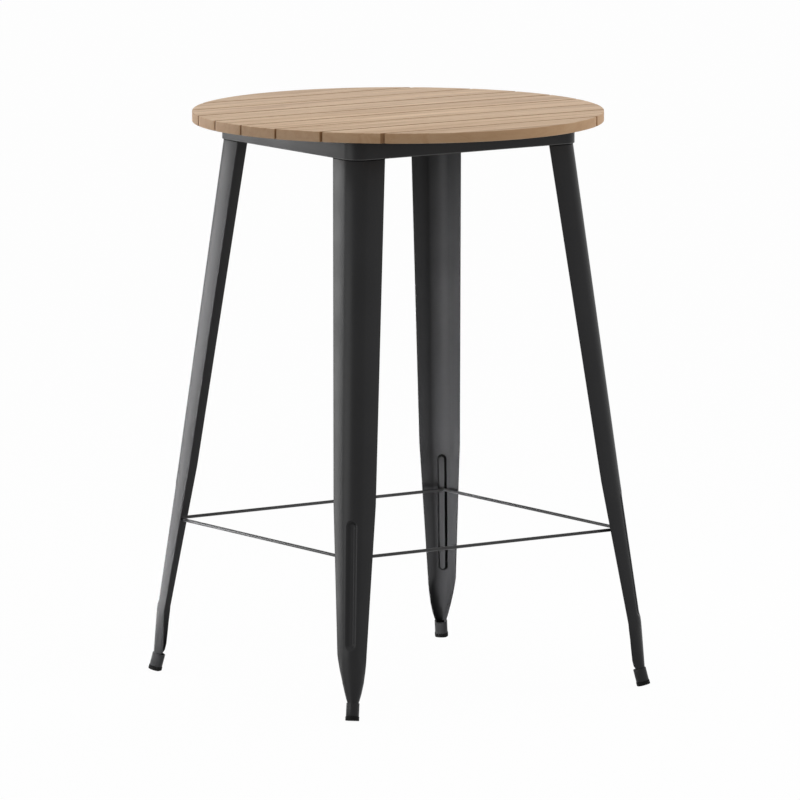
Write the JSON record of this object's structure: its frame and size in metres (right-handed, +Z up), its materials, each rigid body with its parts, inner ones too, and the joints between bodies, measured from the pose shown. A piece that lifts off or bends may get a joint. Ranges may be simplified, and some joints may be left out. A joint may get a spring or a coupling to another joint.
{
  "type": "bar table",
  "caption": "Tall round bar table with a slatted wood-look top on a dark painted steel frame, splayed V-section legs and a thin rod brace ring.",
  "frame": {"origin": "on the floor, below the middle of the round top", "axes": "+Z up, X along the slats, Y across them"},
  "size_m": [0.762, 0.762, 1.0668],
  "materials": {
    "slats": "matt tan wood-look boards with fine grain",
    "frame": "charcoal black satin powder coat",
    "fasteners": "blackened and oiled steel",
    "welds": "bare brushed weld metal",
    "soles": "black moulded rubber"
  },
  "bodies": {
    "root": {"apron_frame": "frame", "brace_back": "frame", "brace_front": "frame", "brace_left": "frame", "brace_right": "frame", "brace_welds": "welds", "corner_gusset_back_left": "frame", "corner_gusset_back_right": "frame", "corner_gusset_front_left": "frame", "corner_gusset_front_right": "frame", "foot_glide_back_left": "soles", "foot_glide_back_right": "soles", "foot_glide_front_left": "soles", "foot_glide_front_right": "soles", "foot_sleeve_back_left": "frame", "foot_sleeve_back_right": "frame", "foot_sleeve_front_left": "frame", "foot_sleeve_front_right": "frame", "leg_back_left": "frame", "leg_back_right": "frame", "leg_bolts": "fasteners", "leg_front_left": "frame", "leg_front_right": "frame", "leg_nuts": "fasteners", "leg_plate_back_left": "frame", "leg_plate_back_right": "frame", "leg_plate_front_left": "frame", "leg_plate_front_right": "frame", "leg_washers": "fasteners", "slat_1": "slats", "slat_2": "slats", "slat_3": "slats", "slat_4": "slats", "slat_5": "slats", "slat_6": "slats", "slat_7": "slats", "slat_8": "slats", "slat_9": "slats", "slat_rail_left": "frame", "slat_rail_right": "frame", "slat_screws": "fasteners"}
  },
  "joints": []
}
